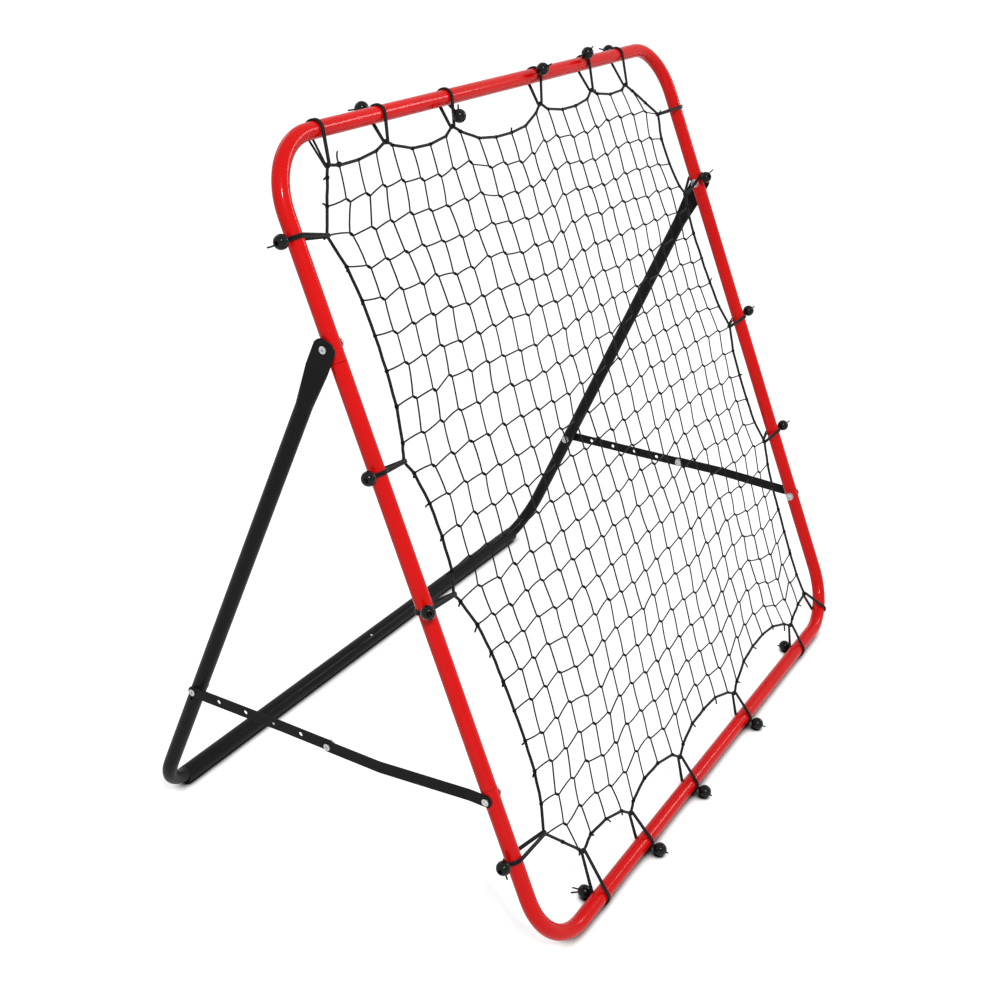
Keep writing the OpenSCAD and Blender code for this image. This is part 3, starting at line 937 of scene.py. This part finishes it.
class REBOUNDER_OT_bungees(bpy.types.Operator):
    """The doubled elastics round the tubes and the border rope, and their cut tails"""
    bl_idname = "rebounder.bungees"
    bl_label = "Elastics"

    def execute(self, context):
        s = context.scene.rebounder_bungee
        cover = corded("elastic_cover", s.elastic_colour, 0.55, 5, 5 * MM, 0.55)
        for side, indices in GROUPS:
            chance = random.Random(len(side) * 7)
            loops, ends, places = [], [], []
            for index in indices:
                gap = STRANDS_APART.get(index, chance.uniform(0.0, 0.5) * MM)
                for hand in (-1, 1):
                    loops.append(belt(index, hand, s.elastic, gap))
                _, hold, _, tube = tie_place(index)
                places.append((hold, tube, (7.5 * MM, 5.6 * MM, 5.6 * MM)))
                if TIES[index][2]:
                    ends += self.ball_strands(index, s, chance)
            if side == "top":
                knot_at = on_frame(-377 * MM, 937 * MM)
                places.append((knot_at, ACROSS, (9 * MM, 7 * MM, 7 * MM)))
                tip = knot_at + UP_FRAME * 15 * MM + ACROSS * 5 * MM
                ends.append(bowed(knot_at, tip, ACROSS * -2 * MM, 5, 0.8 * MM))
            knot = small_knot()
            obj = joined(side + "_elastics", (
                cords("loops", loops, s.elastic, cover, 8, closed=True),
                cords("ends", ends, s.elastic * 0.8, cover, 8),
                pieces_on("hooks", places, knot, cover, 3.0, 4),
            ))
            bpy.data.objects.remove(knot)
            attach(obj, BODY)
            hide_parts(side + "_bungees")
        return {"FINISHED"}

    @staticmethod
    def ball_strands(index, s, chance):
        """Two strands from the belt into the ball, and the tail beyond it."""
        middle, way, tube = ball_place(index)
        reach = TIES[index][2] * MM
        start = middle - way * (reach - TUBE_R - s.elastic * 0.6)
        strands = []
        for hand in (-1, 1):
            aside = tube * hand * s.elastic * 0.42
            strands.append(bowed(start + aside * 1.6, middle + aside, aside * 0.3, 3, 0.5 * MM))
        if index in TAILS:
            for across, up, out in TAILS[index]:
                tip = middle + (ACROSS * across + UP_FRAME * up + OUT_FRONT * out) * MM
                strands.append(bowed(middle, tip, tube * chance.uniform(-1.2, 1.2) * MM, 5, 0.8 * MM))
            return strands
        room = 0.6 if index in BOTTOM else 1.0
        tip = middle + way * (s.ball * 0.5 + chance.uniform(5, 8) * MM * room)
        tip += tube * chance.uniform(-3, 3) * MM
        strands.append(bowed(middle, tip, tube * chance.uniform(-1.2, 1.2) * MM, 5, 0.8 * MM))
        return strands


class REBOUNDER_OT_balls(bpy.types.Operator):
    """The balls that the elastics are hooked on"""
    bl_idname = "rebounder.balls"
    bl_label = "Balls"

    def execute(self, context):
        s = context.scene.rebounder_bungee
        gloss = moulded("black_gloss_ball", s.ball_colour, roughness=0.14, coat=0.28)
        radius, bore = s.ball / 2, s.bore / 2
        edge = math.asin((bore + 0.5 * MM) / radius)
        outline = []
        for k in range(15):
            a = edge + (math.pi - 2 * edge) * k / 14
            outline.append((-radius * math.cos(a), radius * math.sin(a)))
        end = radius * math.cos(edge)
        outline += [(end - 0.15 * MM, bore + 0.1 * MM), (end - 0.8 * MM, bore)]
        outline += [(0.8 * MM - end, bore), (0.15 * MM - end, bore + 0.1 * MM)]
        ball = lathed("ball", outline, 28)
        for side, indices in GROUPS:
            places = []
            for index in indices:
                if TIES[index][2]:
                    middle, way, _ = ball_place(index)
                    places.append((middle, way, (1, 1, 1)))
            obj = pieces_on(side + "_ball_set", places, ball, gloss)
            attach(obj, BODY)
            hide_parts(side + "_balls")
        bpy.data.objects.remove(ball)
        return {"FINISHED"}


# The floor's own light near the middle and far out, and the distances at which it changes.
FLOOR_GLOW = (0.70, 0.87)
FLOOR_GLOW_REACH = (0.8, 4.5)
FLOOR_R = 45
# How near a tube the floor is shaded, and the openness to the sky at which that starts and ends.
CONTACT_REACH = 45 * MM
CONTACT_RANGE = (0.30, 0.66)

# Each lamp: its place, its width and height, and its power.
LAMP_AIM = (0, 0, 0.5)
LAMPS = {
    "key": ((-2.6, -2.2, 3.6), 0.6, 0.6, 114),
    "fill": ((2.8, -2.0, 2.0), 0.8, 0.8, 22),
    "rim": ((0.5, 3.0, 2.6), 2.0, 1.0, 16),
}


def clear_rays(tree):
    """One for rays that see the background straight, mirrored or through glass."""
    path = tree.nodes.new("ShaderNodeLightPath")
    total = path.outputs["Is Camera Ray"]
    for name in ("Is Glossy Ray", "Is Transmission Ray"):
        total = maths(tree, "MAXIMUM", total, path.outputs[name])
    return total


def floor_material(colour):
    """A pale floor that stays white to the eye but is shaded close under the tubes."""
    material = bpy.data.materials.new("pale_floor")
    material.use_nodes = True
    tree = material.node_tree
    tree.nodes.clear()
    place = tree.nodes.new("ShaderNodeTexCoord")
    away = linked(tree, "ShaderNodeVectorMath", {"operation": "LENGTH"}, Vector=place.outputs["Object"])
    glow = spread(tree, away.outputs["Value"], *FLOOR_GLOW, *FLOOR_GLOW_REACH)
    close = linked(tree, "ShaderNodeAmbientOcclusion", Distance=CONTACT_REACH)
    contact = spread(tree, close.outputs["AO"], 0.0, 1.0, *CONTACT_RANGE)
    strength = maths(tree, "MULTIPLY", clear_rays(tree), maths(tree, "MULTIPLY", glow, contact))
    shade = linked(tree, "ShaderNodeVectorMath", {"operation": "SCALE"}, Vector=colour, Scale=contact)
    diffuse = linked(tree, "ShaderNodeBsdfDiffuse", Color=shade.outputs["Vector"])
    light = linked(tree, "ShaderNodeEmission", Strength=strength)
    both = tree.nodes.new("ShaderNodeAddShader")
    output = tree.nodes.new("ShaderNodeOutputMaterial")
    tree.links.new(diffuse.outputs["BSDF"], both.inputs[0])
    tree.links.new(light.outputs["Emission"], both.inputs[1])
    tree.links.new(both.outputs["Shader"], output.inputs["Surface"])
    return material


class REBOUNDER_OT_stage(bpy.types.Operator):
    """Camera, floor and soft studio light"""
    bl_idname = "rebounder.stage"
    bl_label = "Stage"

    def execute(self, context):
        s = context.scene.rebounder_stage
        scene = context.scene
        self.camera(scene)
        self.floor(s)
        self.sky(scene, s)
        for name, lamp in LAMPS.items():
            self.lamp(name, *lamp)
        scene.view_settings.view_transform = "Standard"
        return {"FINISHED"}

    @staticmethod
    def camera(scene):
        data = bpy.data.cameras.new("camera")
        data.sensor_width = 36
        data.lens = 50.64
        data.shift_x = 0.0812
        data.shift_y = -0.0553
        data.clip_start = 0.05
        data.clip_end = 200
        obj = bpy.data.objects.new("camera", data)
        scene.collection.objects.link(obj)
        right = Vector((0.55191, -0.83390, -0.00401))
        down = Vector((-0.32265, -0.20911, -0.92313))
        ahead = Vector((0.76896, 0.51078, -0.38447))
        turn = Matrix((right, -down, -ahead)).transposed()
        obj.matrix_world = Matrix.Translation((-1.6346, -0.8717, 1.1928)) @ turn.to_4x4()
        scene.camera = obj

    @staticmethod
    def floor(s):
        mesh = bpy.data.meshes.new("floor")
        work = bmesh.new()
        bmesh.ops.create_circle(work, cap_ends=True, radius=FLOOR_R, segments=96)
        work.to_mesh(mesh)
        work.free()
        obj = bpy.data.objects.new("floor", mesh)
        bpy.context.scene.collection.objects.link(obj)
        mesh.materials.append(floor_material(s.floor_colour))

    @staticmethod
    def sky(scene, s):
        world = bpy.data.worlds.new("studio")
        world.use_nodes = True
        tree = world.node_tree
        tree.nodes.clear()
        strength = spread(tree, clear_rays(tree), s.sky, 1.0, 0.0, 1.0)
        back = linked(tree, "ShaderNodeBackground", Color=(1, 1, 1, 1), Strength=strength)
        output = tree.nodes.new("ShaderNodeOutputWorld")
        tree.links.new(back.outputs["Background"], output.inputs["Surface"])
        scene.world = world

    @staticmethod
    def lamp(name, place, width, height, power):
        data = bpy.data.lights.new(name, "AREA")
        data.shape = "RECTANGLE"
        data.size = width
        data.size_y = height
        data.energy = power
        obj = bpy.data.objects.new(name, data)
        obj.location = place
        obj.rotation_mode = "QUATERNION"
        obj.rotation_quaternion = (Vector(LAMP_AIM) - Vector(place)).to_track_quat("-Z", "Y")
        bpy.context.scene.collection.objects.link(obj)


class REBOUNDER_PT_panel(bpy.types.Panel):
    """The settings and steps, in the 3D view's sidebar"""
    bl_idname = "REBOUNDER_PT_panel"
    bl_label = "Rebounder"
    bl_space_type = "VIEW_3D"
    bl_region_type = "UI"
    bl_category = "Rebounder"

    def draw(self, context):
        for name, group in GROUPS_OF_SETTINGS:
            box = self.layout.box()
            box.label(text=group.__doc__)
            for key in group.__annotations__:
                box.prop(getattr(context.scene, name), key)
        for step in STEPS:
            self.layout.operator(step.bl_idname)


STEPS = (
    REBOUNDER_OT_stage,
    REBOUNDER_OT_finishes,
    REBOUNDER_OT_seams,
    REBOUNDER_OT_net,
    REBOUNDER_OT_border_rope,
    REBOUNDER_OT_bungees,
    REBOUNDER_OT_balls,
)


def register():
    for _, group in GROUPS_OF_SETTINGS:
        bpy.utils.register_class(group)
    for step in STEPS:
        bpy.utils.register_class(step)
    bpy.utils.register_class(REBOUNDER_PT_panel)
    for name, group in GROUPS_OF_SETTINGS:
        setattr(bpy.types.Scene, name, bpy.props.PointerProperty(type=group))


def unregister():
    for name, group in reversed(GROUPS_OF_SETTINGS):
        delattr(bpy.types.Scene, name)
        bpy.utils.unregister_class(group)
    bpy.utils.unregister_class(REBOUNDER_PT_panel)
    for step in reversed(STEPS):
        bpy.utils.unregister_class(step)


def main():
    register()
    for step in STEPS:
        group, name = step.bl_idname.split(".")
        getattr(getattr(bpy.ops, group), name)()
    bpy.context.view_layer.update()


if __name__ == "__main__":
    main()
